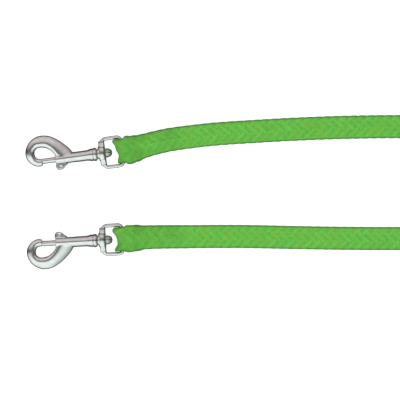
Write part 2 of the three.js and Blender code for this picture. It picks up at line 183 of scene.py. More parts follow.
def coordinates(mesh):
    values = np.empty(len(mesh.vertices) * 3)
    mesh.vertices.foreach_get("co", values)
    return values.reshape(-1, 3)


def finished(mesh, sharp=35):
    """In metres, smooth shaded but for edges sharper than an angle in degrees."""
    mesh.transform(Matrix.Scale(MM, 4))
    mesh.polygons.foreach_set("use_smooth", [True] * len(mesh.polygons))
    mesh.set_sharp_from_angle(angle=math.radians(sharp))
    mesh.update()
    return mesh


def smooth_step(value, low, high):
    t = np.clip((np.asarray(value, float) - low) / (high - low), 0, 1)
    return t * t * (3 - 2 * t)


# ---- Smooth curves through points ----------------------------------------------------------
def spline(points, steps=24):
    """A centripetal Catmull-Rom curve through points, as a dense list of points."""
    p = np.asarray(points, float)
    p = np.vstack([2 * p[0] - p[1], p, 2 * p[-1] - p[-2]])
    t = np.linspace(0, 1, steps, endpoint=False)[:, None]
    pieces = []
    for x0, x1, x2, x3 in zip(p, p[1:], p[2:], p[3:]):
        d0, d1, d2 = (math.sqrt(np.linalg.norm(b - a)) for a, b in ((x0, x1), (x1, x2), (x2, x3)))
        m1 = ((x1 - x0) / d0 - (x2 - x0) / (d0 + d1) + (x2 - x1) / d1) * d1
        m2 = ((x2 - x1) / d1 - (x3 - x1) / (d1 + d2) + (x3 - x2) / d2) * d1
        pieces.append(
            x1 + m1 * t + (-3 * x1 + 3 * x2 - 2 * m1 - m2) * t**2 + (2 * x1 - 2 * x2 + m1 + m2) * t**3
        )
    return np.vstack([*pieces, p[-2][None]])


def run_lengths(points):
    return np.concatenate([[0], np.cumsum(np.linalg.norm(np.diff(points, axis=0), axis=1))])


class Line:
    """A polyline that is read by the distance along it; before its start it runs straight on."""

    def __init__(self, points):
        self.points = np.asarray(points, float)
        self.distances = run_lengths(self.points)
        self.length = self.distances[-1]
        self.slopes = np.gradient(self.points, self.distances, axis=0)

    def at(self, distance):
        d = np.asarray(distance, float)
        place = np.stack([np.interp(d, self.distances, c) for c in self.points.T], -1)
        return place + np.minimum(d, 0)[..., None] * self.slopes[0]

    def heading(self, distance):
        slope = np.stack([np.interp(distance, self.distances, c) for c in self.slopes.T], -1)
        return slope / np.linalg.norm(slope, axis=-1, keepdims=True)


# ---- The strap's route, in millimetres -----------------------------------------------------
ROUTES = {
    "a": [
        (41.0, 45.1), (46, 45.75), (52, 47.1), (60, 49.5), (70, 52.2), (82, 54.8), (101, 57.5),
        (122, 59.8), (152, 61.8), (185, 63.7), (227, 65.4), (262, 66.1), (282.5, 66.2), (330, 66.2),
    ],
    "b": [
        (41.4, -31.5), (46, -31.25), (52, -30.8), (60, -30.2), (72, -29.8), (100, -29.6),
        (122, -29.4), (152, -29.5), (190, -30.3), (235, -31.0), (262, -31.2), (282.5, -31.2),
        (330, -31.2),
    ],
}
STRAP_WIDTH = 20.0
STRAP_THICK = 3.0
STRAP_CLEAR = 0.1
SPLICE_LENGTH = 62.0
LOOP_RADIUS = 3.85
TWIST_START, TWIST_END = 290.0, 376.0
FLAT_UNTIL, HANK_FROM = 200.0, 345.0  # along the strap from either bar
HANK_AXIS_Y = 17.5
LANE = 48.7
LOBE_X, LOBE_RADIUS, LOBE_TURN = 380.0, 39.0, 35.0
WAIST_X, WAIST_HALF, WAIST_PITCH = 466.0, 10.0, 3.5
FAR_LOBE_X, FAR_LOBE_Y, FAR_LOBE_RADIUS, FAR_LOBE_TURN = 550.0, 41.0, 36.0, 160.0
TIE_WIDTH, TIE_THICK, TIE_NOTCH = 16.0, 1.0, 1.6
FLARE = {"a": 24.8, "b": 23.6}  # the strap's width just behind the bar, clear of the ring's swing


def arc_points(x, y, radius, start, end, count):
    angles = np.radians(np.linspace(start, end, count))
    return [(x + radius * math.cos(t), y + radius * math.sin(t)) for t in angles]


def bend(start, end, count):
    """Points on a smooth bend between two (x, y, heading) places."""
    (x0, y0, h0), (x1, y1, h1) = start, end
    reach = 0.38 * math.hypot(x1 - x0, y1 - y0)
    a0, a1 = math.radians(h0), math.radians(h1)
    knots = np.array([
        (x0, y0), (x0 + reach * math.cos(a0), y0 + reach * math.sin(a0)),
        (x1 - reach * math.cos(a1), y1 - reach * math.sin(a1)), (x1, y1),
    ])
    t = np.linspace(0, 1, 201)[:, None]
    curve = Line(
        (1 - t)**3 * knots[0] + 3 * (1 - t)**2 * t * knots[1]
        + 3 * (1 - t) * t**2 * knots[2] + t**3 * knots[3]
    )
    return [tuple(curve.at(curve.length * i / (count + 1))) for i in range(1, count + 1)]


def half_hank():
    """Half of the hank's route, measured from the hank's axis."""
    near, far = WAIST_X - WAIST_HALF, WAIST_X + WAIST_HALF
    outer, inner = 1.5 * WAIST_PITCH, 0.5 * WAIST_PITCH
    wrap = arc_points(LOBE_X, 0, LANE, 90, LOBE_TURN, 5)
    far_lobe = arc_points(FAR_LOBE_X, FAR_LOBE_Y, FAR_LOBE_RADIUS, FAR_LOBE_TURN, -85, 13)
    near_lobe = arc_points(LOBE_X, 0, LOBE_RADIUS, LOBE_TURN, 180, 9)
    return [
        *wrap,
        *bend((*wrap[-1], LOBE_TURN - 90), (near, outer, 0), 3),
        (near, outer), (WAIST_X, outer), (far, outer),
        *bend((far, outer, 0), (*far_lobe[0], FAR_LOBE_TURN - 90), 4),
        *far_lobe,
        *bend((*far_lobe[-1], 185), (far, inner, 180), 4),
        (far, inner), (WAIST_X, inner), (near, inner),
        *bend((near, inner, 180), (*near_lobe[0], LOBE_TURN + 90), 3),
        *near_lobe,
    ]


def hank_line():
    half = half_hank()
    back = [(x, -y) for x, y in half[-2::-1]]
    return spline([(x, HANK_AXIS_Y + y) for x, y in half + back])


def run_line(end):
    lane = HANK_AXIS_Y + (LANE if end == "a" else -LANE)
    return spline([*ROUTES[end], (LOBE_X - GAP, lane)])


def whole_route():
    return Line(np.vstack([run_line("a"), hank_line(), run_line("b")[::-1]]))


# The splice seen from the side, as (distance from the bar, height of the middle, thickness, width):
# from the tail inside the braid, under the bar, round its front and back over the top
def splice_stations(bar_height, flare):
    loop = [
        (LOOP_RADIUS * math.cos(t), bar_height + LOOP_RADIUS * math.sin(t), 2.7, 20.7)
        for t in np.radians(np.linspace(-90, -270, 13))
    ]
    return [
        (27, 2.5, 1.6, 15.0), (22, 2.2, 2.4, 18.0), (17, 1.7, 2.8, 21.0), (12, 1.65, 2.8, 23.2),
        (6, 1.9, 2.8, 21.6), *loop, (1.9, 10.47, 2.75, 21.2), (3.9, 10.2, 2.9, flare),
        (7.2, 9.2, 3.0, flare - 0.3), (9.8, 8.0, 3.2, 0.5 * flare + 10.9), (13, 6.3, 3.6, 0.4 * flare + 12.4),
        (17, 4.7, 4.1, 0.2 * flare + 16.2), (21, 3.6, 4.6, 20.8), (25, 2.95, 4.9, 20.5), (30, 2.65, 5.0, 20.4),
        (40, 2.6, 4.9, 20.3), (48, 2.4, 4.5, 20.2), (56, 1.95, 3.6, 20.1),
        (SPLICE_LENGTH + 2, STRAP_CLEAR + STRAP_THICK / 2, STRAP_THICK, STRAP_WIDTH),
    ]


# ---- Braid ---------------------------------------------------------------------------------
# Twelve flat strands, six each way round, over two and under two. The braid's own coordinates
# are p along the strap and q round it; strands of one hand keep p - q, those of the other p + q.
BRAID_PITCH = 7.65  # along the strap, from one strand to the next of the same hand
STRANDS_EACH_WAY = 6
BRAID_SHIFT_A = 0.9  # turns the pattern round the strap, so that a band of one slant faces up
BRAID_SHIFT_B = 1.37
STRAND_CROWN = 0.3
STRAND_WAVE = 0.13


def braid_height(p, q):
    """Height of the braid's surface, in millimetres above its lowest level."""
    left, right = p - q, p + q
    i, j = np.floor(left), np.floor(right)
    crown_left = 1 - np.abs(2 * (left - i) - 1) ** 2.4
    crown_right = 1 - np.abs(2 * (right - j) - 1) ** 2.4
    over_left = STRAND_WAVE * np.cos(math.pi / 2 * (right - i - 1)) + STRAND_CROWN * crown_left
    over_right = STRAND_WAVE * np.cos(math.pi / 2 * (j - left - 2)) + STRAND_CROWN * crown_right
    return np.maximum(over_left, over_right)


def section(width, thick, sides):
    """Points and outward directions round a flat strap's rounded section, from the middle of the
    top face towards its left edge, and how far round each is, from -0.5 to 0.5."""
    radius = thick / 2
    flat = width / 2 - radius
    total = 4 * flat + 2 * math.pi * radius
    share = (np.arange(sides) + 0.5) / sides
    d = share * total
    bounds = np.cumsum([flat, math.pi * radius, 2 * flat, math.pi * radius, flat])
    places = []
    for distance in d:
        if distance < bounds[0]:
            places.append((distance, radius, 0, 1))
        elif distance < bounds[1]:
            sine, cosine = math.sin((distance - bounds[0]) / radius), math.cos((distance - bounds[0]) / radius)
            places.append((flat + radius * sine, radius * cosine, sine, cosine))
        elif distance < bounds[2]:
            places.append((flat - (distance - bounds[1]), -radius, 0, -1))
        elif distance < bounds[3]:
            sine, cosine = math.sin((distance - bounds[2]) / radius), math.cos((distance - bounds[2]) / radius)
            places.append((-flat - radius * sine, -radius * cosine, -sine, -cosine))
        else:
            places.append((-flat + (distance - bounds[3]), radius, 0, 1))
    y, z, ny, nz = np.array(places).T
    return y, z, ny, nz, share


def joint(name):
    return next(j for j in frame["joints"] if j["name"] == name)


SPLICE_STEP, RUN_STEP, HANK_STEP, FINE_UNTIL = 0.62, 0.65, 1.45, 295.0
SIDES = 50


def strap_stations():
    """The strap's stations from tail to tail: distance along the route from bar a, height of the
    middle, thickness, width, and which end's loop they belong to (0 on the long run)."""
    route = whole_route()
    rows = []
    for end in ENDS:
        bar_height = joint(f"eye_swing_{end}")["pos_m"][2] / MM
        keys = np.array(splice_stations(bar_height, FLARE[end]))
        dense = spline(keys, 16)
        lengths = run_lengths(dense[:, :2])
        count = int(lengths[-1] / SPLICE_STEP)
        even = np.stack([np.interp(np.linspace(0, lengths[-1], count), lengths, c) for c in dense.T], -1)
        rows.append(even)
    first, last = rows[0], rows[1][::-1].copy()
    last[:, 0] = route.length - last[:, 0]
    middle_from, middle_to = first[-1, 0], last[0, 0]
    marks = [
        np.arange(middle_from + RUN_STEP, FINE_UNTIL, RUN_STEP),
        np.arange(FINE_UNTIL, route.length - FINE_UNTIL, HANK_STEP),
        np.arange(route.length - FINE_UNTIL, middle_to - 0.3, RUN_STEP),
    ]
    distances = np.concatenate(marks)
    middle = np.stack([
        distances, np.zeros_like(distances), np.full_like(distances, STRAP_THICK),
        np.full_like(distances, STRAP_WIDTH),
    ], -1)
    stations = np.vstack([first, middle, last])
    side = np.concatenate([np.ones(len(first)), np.zeros(len(middle)), -np.ones(len(last))])
    return route, stations, side


route, stations, side = strap_stations()


def strap_frames():
    """Middle points, width directions and outward directions of every station of the strap."""
    distance = stations[:, 0]
    plan = route.at(distance)
    beyond = np.maximum(distance - route.length, 0)[:, None]
    plan = plan + beyond * route.slopes[-1]
    heading = route.heading(np.clip(distance, 0, route.length))
    level = np.stack([-heading[:, 1], heading[:, 0], np.zeros(len(heading))], -1)
    from_bar = np.minimum(distance, route.length - distance)
    twist = (math.pi / 2) * smooth_step(plan[:, 0], TWIST_START, TWIST_END)
    twist = np.where(from_bar > FLAT_UNTIL, twist, 0)
    in_hank = (distance > HANK_FROM) & (distance < route.length - HANK_FROM)
    twist = np.where(in_hank, math.pi / 2, twist)
    height = (STRAP_WIDTH / 2) * np.sin(twist) + (STRAP_THICK / 2) * np.cos(twist) + STRAP_CLEAR
    height = np.where(side != 0, stations[:, 1], height)
    middle = np.column_stack([plan, height])
    width = level * np.cos(twist)[:, None] + np.array([0, 0, 1.0]) * np.sin(twist)[:, None]
    ahead = np.gradient(middle, axis=0)
    ahead /= np.linalg.norm(ahead, axis=1, keepdims=True)
    out = np.cross(ahead, width)
    out /= np.linalg.norm(out, axis=1, keepdims=True)
    return middle, width, out


middle, width_way, out_way = strap_frames()
along = run_lengths(middle)


def front_pull(across, end):
    """How far each place along the fold stands forward of the plain loop; across is 1 at the +Y edge."""
    curve = {"a": (-1.9, 2.2, 2.8, -0.4), "b": (-4.7, -3.0, 7.3, 2.9, -0.1)}[end]
    ruffle = 0.35 * np.sin(8.5 * across + (1.0 if end == "a" else 2.4))
    return np.polyval(curve, np.clip(across, -1, 1)) + ruffle


def build_strap():
    total = len(stations)
    rings = np.zeros((total, SIDES, 3))
    edge = np.zeros((total, SIDES))
    doubled = np.zeros((total, SIDES))
    shift = BRAID_SHIFT_A + (BRAID_SHIFT_B - BRAID_SHIFT_A) * smooth_step(along, 400, along[-1] - 400)
    tie_near = np.abs(middle[:, 0] - WAIST_X)
    pressed = 1 - smooth_step(tie_near, TIE_WIDTH / 2, TIE_WIDTH / 2 + 5)
    for k in range(total):
        _, _, thick, width = stations[k]
        width = width - 2 * (TIE_NOTCH + 0.1) * pressed[k]
        y, z, ny, nz, share_round = section(width, thick - 0.5, SIDES)
        q = share_round * STRANDS_EACH_WAY + shift[k]
        rise = braid_height(along[k] / BRAID_PITCH, q) - 0.2
        rise = rise * (1 - 0.45 * pressed[k])
        fuller = np.clip((thick - STRAP_THICK) / 2, 0, 1)
        across = y / (width / 2)
        # How near each point is to the strap's edges: the mask for painted shade that darkens both edges.
        edge[k] = smooth_step(np.abs(across), 0.84, 0.95)
        crown = 1 - 0.34 * fuller * across**2
        lumps = 0.16 * fuller * np.sin(along[k] * 0.55 + 2.1 * across) * (1 - across**2)
        y = y + ny * rise
        z = z * crown + nz * (rise + lumps)
        rings[k] = middle[k] + width_way[k] * y[:, None] + out_way[k] * z[:, None]
        if side[k] != 0:
            end = "a" if side[k] > 0 else "b"
            from_bar = stations[k, 0] if end == "a" else route.length - stations[k, 0]
            doubled[k] = 1 - smooth_step(from_bar, 42, SPLICE_LENGTH - 4)
            reach = 1 - smooth_step(from_bar, -4.2, 4.5)
            left = across if end == "a" else -across
            forward = -route.heading(0.0) if end == "a" else route.heading(route.length)
            rings[k, :, :2] += forward * (reach * front_pull(left, end))[:, None]
    points, faces = loft(rings)
    mesh = make_mesh("strap", points * MM, faces)
    # The "edge" attribute carries the mask for painted shade along the strap's edges.
    for label, values in (("edge", edge), ("doubled", doubled)):
        layer = mesh.attributes.new(label, "FLOAT", "POINT")
        layer.data.foreach_set("value", values.ravel().astype(np.float32))
    layer = mesh.uv_layers.new(name="braid")
    uv = np.zeros((len(mesh.loops), 2), np.float32)
    row = 0
    for i in range(total - 1):
        for j in range(SIDES):
            for at, (station, place) in enumerate(((i, j), (i, j + 1), (i + 1, j + 1), (i + 1, j))):
                uv[row + at] = (
                    along[station] / BRAID_PITCH,
                    (place + 0.5) / SIDES * STRANDS_EACH_WAY + shift[station],
                )
            row += 4
    layer.data.foreach_set("uv", uv.ravel())
    return new_object("braided_strap", mesh)


strap = build_strap()
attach(strap, "lead")
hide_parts("strap_end_a", "strap_end_b", "strap_run_a", "strap_run_b", "strap_hank")


# ---- Lock stitching down the middle of each splice -----------------------------------------
STITCH_COUNT, STITCH_START, STITCH_PITCH, STITCH_LENGTH = 6, 26.5, 4.3, 3.4


def stitch_row(end):
    line = Line(spline(ROUTES[end]))
    keys = np.array(splice_stations(joint(f"eye_swing_{end}")["pos_m"][2] / MM, FLARE[end]))
    top = keys[-7:]  # the outer layer, from where it comes down on the tail
    parts = []
    for number in range(STITCH_COUNT):
        start = STITCH_START + STITCH_PITCH * number
        shares = np.linspace(0, 1, 13)
        rings = []
        for share in shares:
            d = start + STITCH_LENGTH * share
            surface = np.interp(d, top[:, 0], top[:, 1] + top[:, 2] / 2)
            sway = 0.25 * math.sin(2.3 * number + share)
            centre = line.at(d)
            heading = line.heading(d)
            across = np.array([-heading[1], heading[0], 0])
            lift = surface + 0.1 + 0.45 * math.sin(math.pi * share) ** 0.5 - 0.35
            ring_centre = np.array([*centre, lift]) + across * sway
            size = 0.62 + 0.1 * math.sin(math.pi * share)
            rings.append([
                ring_centre + across * size * math.cos(t) + np.array([0, 0, 0.8 * size * math.sin(t)])
                for t in np.linspace(0, 2 * math.pi, 12, endpoint=False)
            ])
        parts.append(loft(np.array(rings)[:, ::-1]))
    points, faces = joined(parts)
    return new_object(f"stitches_{end}", make_mesh("stitches", points * MM, faces))


stitch_rows = [stitch_row(end) for end in ENDS]
for end, row in zip(ENDS, stitch_rows):
    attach(row, "lead")
    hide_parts(f"lock_stitching_{end}")


# ---- Tie round the hank --------------------------------------------------------------------
def tie_band():
    """A hook-and-loop band wound once round the waist, its end lying over its start on one side."""
    half_y = 2 * WAIST_PITCH + GAP + TIE_THICK / 2
    low = STRAP_CLEAR + TIE_NOTCH - TIE_THICK / 2
    high = STRAP_CLEAR + STRAP_WIDTH - TIE_NOTCH + TIE_THICK / 2
    centre = (low + high) / 2
    half_z = (high - low) / 2
    corner = 2.0
    path = []
    for cx, cz, start in (
        (half_y - corner, half_z - corner, 90), (half_y - corner, -half_z + corner, 0),
        (-half_y + corner, -half_z + corner, -90), (-half_y + corner, half_z - corner, -180),
    ):
        for t in np.radians(np.linspace(start, start - 90, 9)):
            path.append((cx + corner * math.cos(t), cz + corner * math.sin(t)))
    extra = TIE_THICK * 1.05
    over = [
        (half_y - corner - 3, half_z + 0.45), (half_y - corner, half_z + extra * 0.9),
        *[
            (half_y - corner + (corner + extra) * math.cos(t), half_z - corner + (corner + extra) * math.sin(t))
            for t in np.radians(np.linspace(70, 0, 7))
        ],
        (half_y + extra, 2), (half_y + extra, -2), (half_y + extra + 0.1, -4.5),
    ]
    line = Line(spline([(-2, half_z), *path, *over], 6))
    stations = np.linspace(0, line.length, 150)
    rings = []
    for d in stations:
        (y, z), (hy, hz) = line.at(d), line.heading(d)
        out = np.array([0, -hz, hy])
        half_wide = TIE_WIDTH / 2 * (1 - 0.25 * smooth_step(d, line.length - 2.5, line.length))
        rings.append([
            np.array([WAIST_X + half_wide * sx, HANK_AXIS_Y + y, centre + z]) + out * sz * TIE_THICK * 0.42
            for sx, sz in (
                (1, -0.6), (1, 0.6), (0.96, 1), (0.5, 1), (0, 1), (-0.5, 1), (-0.96, 1),
                (-1, 0.6), (-1, -0.6), (-0.96, -1), (-0.5, -1), (0, -1), (0.5, -1), (0.96, -1),
            )
        ])
    points, faces = loft(np.array(rings))
    return new_object("hook_and_loop_tie", make_mesh("tie", points * MM, faces))


tie = tie_band()
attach(tie, "lead")
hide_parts("hank_tie")


# ---- Metal parts, in millimetres along the snap's own axis ---------------------------------
BARREL_RADIUS = 4.65
BARREL_FRONT = -36.3
BORE_RADIUS = 2.6
TIP_FACE = -48.2
SLOT_WIDTH = 3.0
BOLT_RADIUS = BORE_RADIUS - GAP
BOLT_REAR = -26.5
NOSE_RADIUS = 1.5
TRAVEL = 12.5
KNOB_FRONT, KNOB_REAR, KNOB_TOP = -37.0, -26.0, 9.4
SHANK_X, SHANK_RADIUS = -33.0, 1.2
PIN_RADIUS, PIN_FRONT = BORE_RADIUS - GAP, -9.0
HUB_FRONT, HUB_BACK = 1.3, 7.4
HUB_HALF_WIDTH, HUB_HALF_HEIGHT = 7.4, 4.6
WEB_FRONT, WEB_HALF_WIDTH, WEB_HALF_HEIGHT = 2.2, 10.9, 2.1
RING_WIRE, RING_HALF, RING_NEAR, BAR_X = 1.65, 12.4, 4.4, 22.1
NEAR_CORNER, FAR_CORNER = 4.6, 4.0

# The hook's middle line with its half width in the hook's plane, from the barrel to the tip
HOOK_STATIONS = [
    (-24.9, 0.4, 5.6), (-27.4, 3.4, 6.3), (-30.3, 6.8, 6.3), (-33.4, 10.3, 5.9), (-37, 13.4, 5.6),
    (-41.7, 16.1, 5.5), (-48.3, 17.1, 5.2), (-53.8, 15.2, 4.4), (-57.4, 10.8, 4.0), (-57.8, 5.2, 3.9),
    (-55.0, 0.9, 3.5), (-51.2, -0.8, 3.4), (TIP_FACE, -0.5, 3.0),
]
HOOK_FLATNESS, HOOK_SIDE = 0.86, 4.3
HOOK_LEAN = 0.28  # how far the arm's ridge leans towards the inside of the hook
BOSS_FRONT = 0.4
CASTING_VOXEL, EYE_VOXEL, KNOB_VOXEL = 0.26, 0.24, 0.2
CROTCH, CROTCH_REACH = np.array([-29.5, 5.0, 0]), np.array([10, 5.5, 7])
BRIDGE, BRIDGE_REACH = np.array([HUB_FRONT + 2.5, 0, 0]), np.array([6.5, 14, 8])
KNOB_HALF_WIDTH = 2.9
HEAD_RADIUS, HEAD_LENGTH = 4.0, 5.5
SPRING_WIRE, SPRING_COIL, SPRING_TURNS = 0.35, 1.9, 6


def box(low, high):
    (x0, y0, z0), (x1, y1, z1) = low, high
    points = [(x, y, z) for x in (x0, x1) for y in (y0, y1) for z in (z0, z1)]
    faces = [(0, 1, 3, 2), (4, 6, 7, 5), (0, 4, 5, 1), (2, 3, 7, 6), (0, 2, 6, 4), (1, 5, 7, 3)]
    return np.array(points), faces


def turned_to(part, way):
    """A lathe part turned so that its axis points along another one."""
    points, faces = part
    axes = {"y": [1, 0, 2], "z": [2, 1, 0]}[way]
    return points[:, axes], [face[::-1] for face in faces]


def moved(part, x=0, y=0, z=0):
    return part[0] + np.array([x, y, z]), part[1]


def rod(start, end, radius, sides=64, edge=0.0):
    """A cylinder along x with its end edges rounded off."""
    if edge == 0:
        return lathe([(start, radius), (end, radius)], sides)
    ease = [(edge * (1 - math.cos(t)), edge * (1 - math.sin(t))) for t in np.radians([0, 22, 45, 68, 90])]
    front = [(start + dx, radius - dr) for dx, dr in ease]
    back = [(end - dx, radius - dr) for dx, dr in ease[::-1]]
    return lathe([*front, *back], sides)


def hook_arm():
    line = Line(spline(HOOK_STATIONS))
    shares = np.linspace(0, 1, 130)
    angles = np.linspace(0, 2 * math.pi, 40, endpoint=False)
    rings = []
    for share in shares:
        x, y, across = line.at(share * line.length)
        hx, hy = line.heading(share * line.length)[:2]
        hx, hy = hx / math.hypot(hx, hy), hy / math.hypot(hx, hy)
        deep = min(HOOK_FLATNESS * across, HOOK_SIDE)
        lean = HOOK_LEAN * (2 - smooth_step(share, 0.1, 0.45)) * (1 - smooth_step(share, 0.8, 0.97))
        rings.append([])
        for t in angles:
            side = across * (math.cos(t) + lean * math.sin(t) ** 2)
            rings[-1].append((x - hy * side, y + hx * side, deep * math.sin(t)))
    return loft(np.array(rings))


def snap_casting():
    barrel = rod(BARREL_FRONT, -7.0, BARREL_RADIUS, edge=0.5)
    casting = fused([hook_arm(), barrel], CASTING_VOXEL, 5)

    def crotch(points):
        return np.clip(1.3 - np.linalg.norm((points - CROTCH) / CROTCH_REACH, axis=1), 0, 1)
    casting = smoothed_near(casting, crotch, 26)
    collar = lathe([
        (-10.2, 0), (-10.2, 4.4), (-9.6, 4.665), (-8.6, 4.74), (-7.6, 4.9), (-6.6, 5.12), (-5.8, 5.35),
        (-5.0, 5.55), (-4.4, 5.62), (-4.0, 5.55), (-3.85, 5.3), (-3.55, 5.2), (-3.35, 5.45),
        (-3.1, 5.72), (-2.8, 5.82), (-1.3, 5.82), (-0.8, 5.66), (-0.4, 5.35), (-0.1, 4.9), (0, 4.5), (0, 0),
    ], 96)
    slot = box(
        (SHANK_X - SHANK_RADIUS - GAP, -BARREL_RADIUS - 2, -SLOT_WIDTH / 2),
        (SHANK_X + TRAVEL + SHANK_RADIUS + GAP, 0, SLOT_WIDTH / 2),
    )
    pit = moved(turned_to(lathe([(3.1, 0), (3.3, 0.5), (4.0, 0.8), (6.5, 1.3)], 24), "z"), -32.7, 3.6)
    bore = rod(TIP_FACE, 1, BORE_RADIUS, 64)
    socket = rod(TIP_FACE - 2, TIP_FACE + 1, NOSE_RADIUS + GAP, 40)
    return finished(carved(casting, add=[collar], cut=[bore, socket, slot, pit]))


def gate_bolt():
    front = TIP_FACE + GAP
    body = lathe([
        (front - 1.6, 0), (front - 1.6, NOSE_RADIUS - 0.45), (front - 1.5, NOSE_RADIUS - 0.15),
        (front - 1.2, NOSE_RADIUS), (front, NOSE_RADIUS), (front, BOLT_RADIUS - 0.35),
        (front + 0.1, BOLT_RADIUS - 0.12), (front + 0.3, BOLT_RADIUS), (BOLT_REAR - 0.3, BOLT_RADIUS),
        (BOLT_REAR, BOLT_RADIUS - 0.3), (BOLT_REAR, 0),
    ])
    hole = moved(turned_to(rod(-4.8, -0.8, SHANK_RADIUS + GAP, 32), "y"), SHANK_X)
    return finished(carved(make_mesh("bolt", *body), cut=[hole]))


def thumb_knob():
    """A thumb piece with a rounded back and a dished front face, on a short round shank."""
    side_line = [
        (KNOB_FRONT + 0.2, -3.6), (KNOB_FRONT + 0.3, -6.4), (KNOB_FRONT + 1.2, -KNOB_TOP + 0.7),
        (KNOB_FRONT + 2.6, -KNOB_TOP + 0.05), (KNOB_FRONT + 4.6, -KNOB_TOP + 0.1),
        (KNOB_FRONT + 6.4, -KNOB_TOP + 0.9), (KNOB_FRONT + 8.6, -6.6), (KNOB_REAR - 0.6, -5.3),
        (KNOB_REAR - 0.1, -4.4), (KNOB_REAR - 0.2, -3.6),
    ]
    outline = spline(side_line, 6)
    middle_point = outline.mean(0)
    rings = []
    for share in np.linspace(-1, 1, 21):
        inset = 1 - 0.22 * abs(share) ** 4
        rings.append([(*(middle_point + (p - middle_point) * inset), KNOB_HALF_WIDTH * share) for p in outline])
    mesh = fused([loft(np.array(rings))], KNOB_VOXEL, 6)
    shank = moved(turned_to(rod(-6.4, -1.5, SHANK_RADIUS, 40), "y"), SHANK_X)
    clear = rod(KNOB_FRONT - 2, KNOB_REAR + 2, BARREL_RADIUS + GAP, 96)
    dish = moved(turned_to(lathe([(0, 0), (0.25, 1.2), (0.7, 1.9), (3, 3.2)], 40), "z"), -32.6, -7.0, 2.35)
    dish_back = (dish[0] * [1, 1, -1], [face[::-1] for face in dish[1]])
    mesh = carved(mesh, cut=[clear, dish, dish_back])
    return finished(carved(mesh, add=[shank]))


def gate_spring():
    wire, coil, turns = SPRING_WIRE, SPRING_COIL, SPRING_TURNS
    start, end = BOLT_REAR + GAP + wire, PIN_FRONT - GAP - wire
    rings = []
    for share in np.linspace(0, 1, turns * 36 + 1):
        flat = smooth_step(share, 0, 0.16) * (1 - smooth_step(share, 0.84, 1))
        shaped = share if flat >= 1 else share * flat + round(share) * (1 - flat)
        centre_x = start + (end - start) * (0.1 * share + 0.9 * shaped)
        t = share * turns * 2 * math.pi
        radial = np.array([0, math.cos(t), math.sin(t)])
        rings.append([
            np.array([centre_x, 0, 0]) + radial * (coil + wire * math.cos(a))
            + np.array([wire * math.sin(a), 0, 0])
            for a in np.linspace(0, 2 * math.pi, 12, endpoint=False)
        ])
    return finished(make_mesh("spring", *loft(np.array(rings))), 60)


def swivel_pin():
    face = HUB_BACK + GAP
    dome = [
        (face + HEAD_LENGTH * math.sin(t), HEAD_RADIUS * math.cos(t) ** 0.7)
        for t in np.radians(np.linspace(20, 88, 16))
    ]
    body = lathe([
        (PIN_FRONT, 0), (PIN_FRONT, PIN_RADIUS - 0.3), (PIN_FRONT + 0.3, PIN_RADIUS), (face, PIN_RADIUS),
        (face, HEAD_RADIUS - 0.4), (face + 0.15, HEAD_RADIUS - 0.15), (face + 0.6, HEAD_RADIUS),
        (face + 1.3, HEAD_RADIUS), *dome[1:], (face + HEAD_LENGTH, 0),
    ])
    return finished(make_mesh("pin", *body), 40)


def ring_line():
    def corner(x, y, radius, start, end):
        return arc_points(x, y, radius, start, end, 13)
    near, far = RING_NEAR + NEAR_CORNER, BAR_X - FAR_CORNER
    loop = [
        (RING_NEAR, 0), *corner(near, RING_HALF - NEAR_CORNER, NEAR_CORNER, 180, 90),
        *corner(far, RING_HALF - FAR_CORNER, FAR_CORNER, 90, 0),
        *corner(far, -RING_HALF + FAR_CORNER, FAR_CORNER, 0, -90),
        *corner(near, -RING_HALF + NEAR_CORNER, NEAR_CORNER, -90, -180),
        (RING_NEAR, 0),
    ]
    return Line(loop)


def swivel_eye():
    line = ring_line()
    rings = []
    for share in np.linspace(0, 1, 220, endpoint=False):
        x, y = line.at(share * line.length)
        hx, hy = line.heading(share * line.length)
        rings.append([
            (x - hy * RING_WIRE * math.cos(t), y + hx * RING_WIRE * math.cos(t), RING_WIRE * math.sin(t))
            for t in np.linspace(0, 2 * math.pi, 28, endpoint=False)
        ])
    ring = loft(np.array(rings), closed=True)
    hub_rings = []
    for share in np.linspace(0, 1, 15):
        inset = 1.5 * abs(2 * share - 1) ** 3
        hub_rings.append([
            (
                HUB_FRONT + (HUB_BACK - HUB_FRONT) * share, (HUB_HALF_WIDTH - inset) * math.cos(t),
                (HUB_HALF_HEIGHT - inset) * math.copysign(abs(math.sin(t)) ** 0.85, math.sin(t)),
            )
            for t in np.linspace(0, 2 * math.pi, 72, endpoint=False)
        ])
    hub = loft(np.array(hub_rings))
    web_rings = []
    for y in np.linspace(-WEB_HALF_WIDTH, WEB_HALF_WIDTH, 41):
        high = WEB_HALF_HEIGHT + 1.6 * (1 - smooth_step(abs(y), 5.5, 9.5))
        reach = (HUB_BACK - WEB_FRONT) / 2
        web_rings.append([
            (
                WEB_FRONT + reach + reach * math.copysign(abs(math.cos(t)) ** 0.45, math.cos(t)), y,
                high * math.copysign(abs(math.sin(t)) ** 0.6, math.sin(t)),
            )
            for t in np.linspace(0, 2 * math.pi, 48, endpoint=False)
        ])
    eye = fused([ring, hub, loft(np.array(web_rings))], EYE_VOXEL, 6)

    def bridge(points):
        return np.clip(1.5 - np.linalg.norm((points - BRIDGE) / BRIDGE_REACH, axis=1), 0, 1)
    eye = smoothed_near(eye, bridge, 22)
    boss = lathe([(BOSS_FRONT, 0), (BOSS_FRONT, 4.1), (BOSS_FRONT + 0.4, 4.6), (2.4, 4.7), (2.4, 0)], 72)
    bore = rod(HUB_FRONT - 2, HUB_BACK + 2, PIN_RADIUS + GAP, 64)
    return finished(carved(eye, add=[boss], cut=[bore]))


def snap_matrix(end):
    """The snap's own axes in the row frame."""
    swivel = joint(f"snap_swivel_{end}")
    ex = Vector(swivel["axis"]).normalized()
    ey = Vector(joint(f"eye_swing_{end}")["axis"]).normalized()
    ez = ex.cross(ey)
    turn = Matrix((ex, ey, ez)).transposed().to_4x4()
    return Matrix.Translation(swivel["pos_m"]) @ turn


